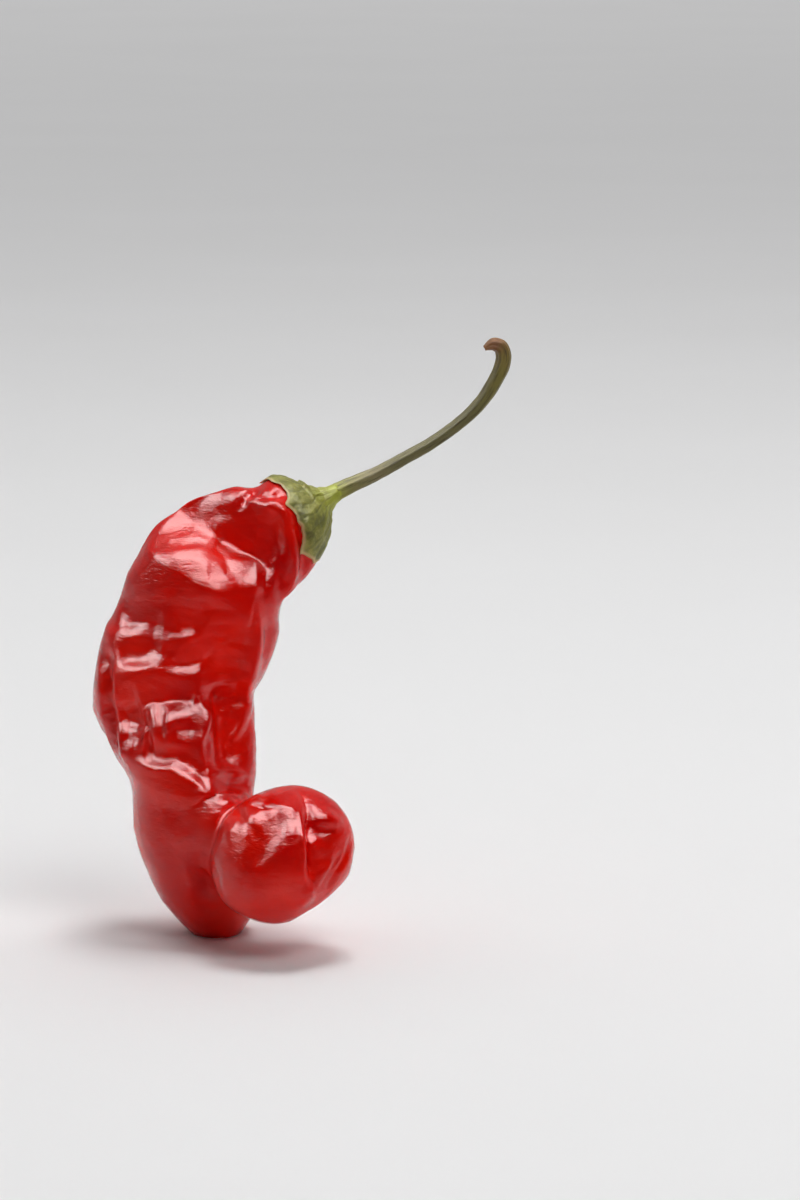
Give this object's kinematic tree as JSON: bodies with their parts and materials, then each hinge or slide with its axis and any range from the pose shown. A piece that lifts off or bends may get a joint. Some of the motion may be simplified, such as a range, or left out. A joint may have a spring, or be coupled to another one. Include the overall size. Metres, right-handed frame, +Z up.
{
  "type": "chilli pepper",
  "caption": "Wrinkled red chilli pepper, curved down to a bend and a round tip held out in front, with a green calyx and a thin hooked stem",
  "frame": {"origin": "the middle of the small flat spot under the bend of the pod, on which it stands", "axes": "+Z is up, along the pod and the object's longest extent; -Y is the front, which the round tip is held out to; +X is the side that the stem reaches out to"},
  "size_m": [0.0893, 0.054, 0.1271],
  "materials": {
    "pod": "glossy waxy fruit skin",
    "calyx": "matte leafy skin, dry at the rim",
    "stem": "satin ribbed stalk"
  },
  "bodies": {
    "root": {"pod": "pod", "calyx": "calyx", "stem": "stem"}
  },
  "joints": []
}
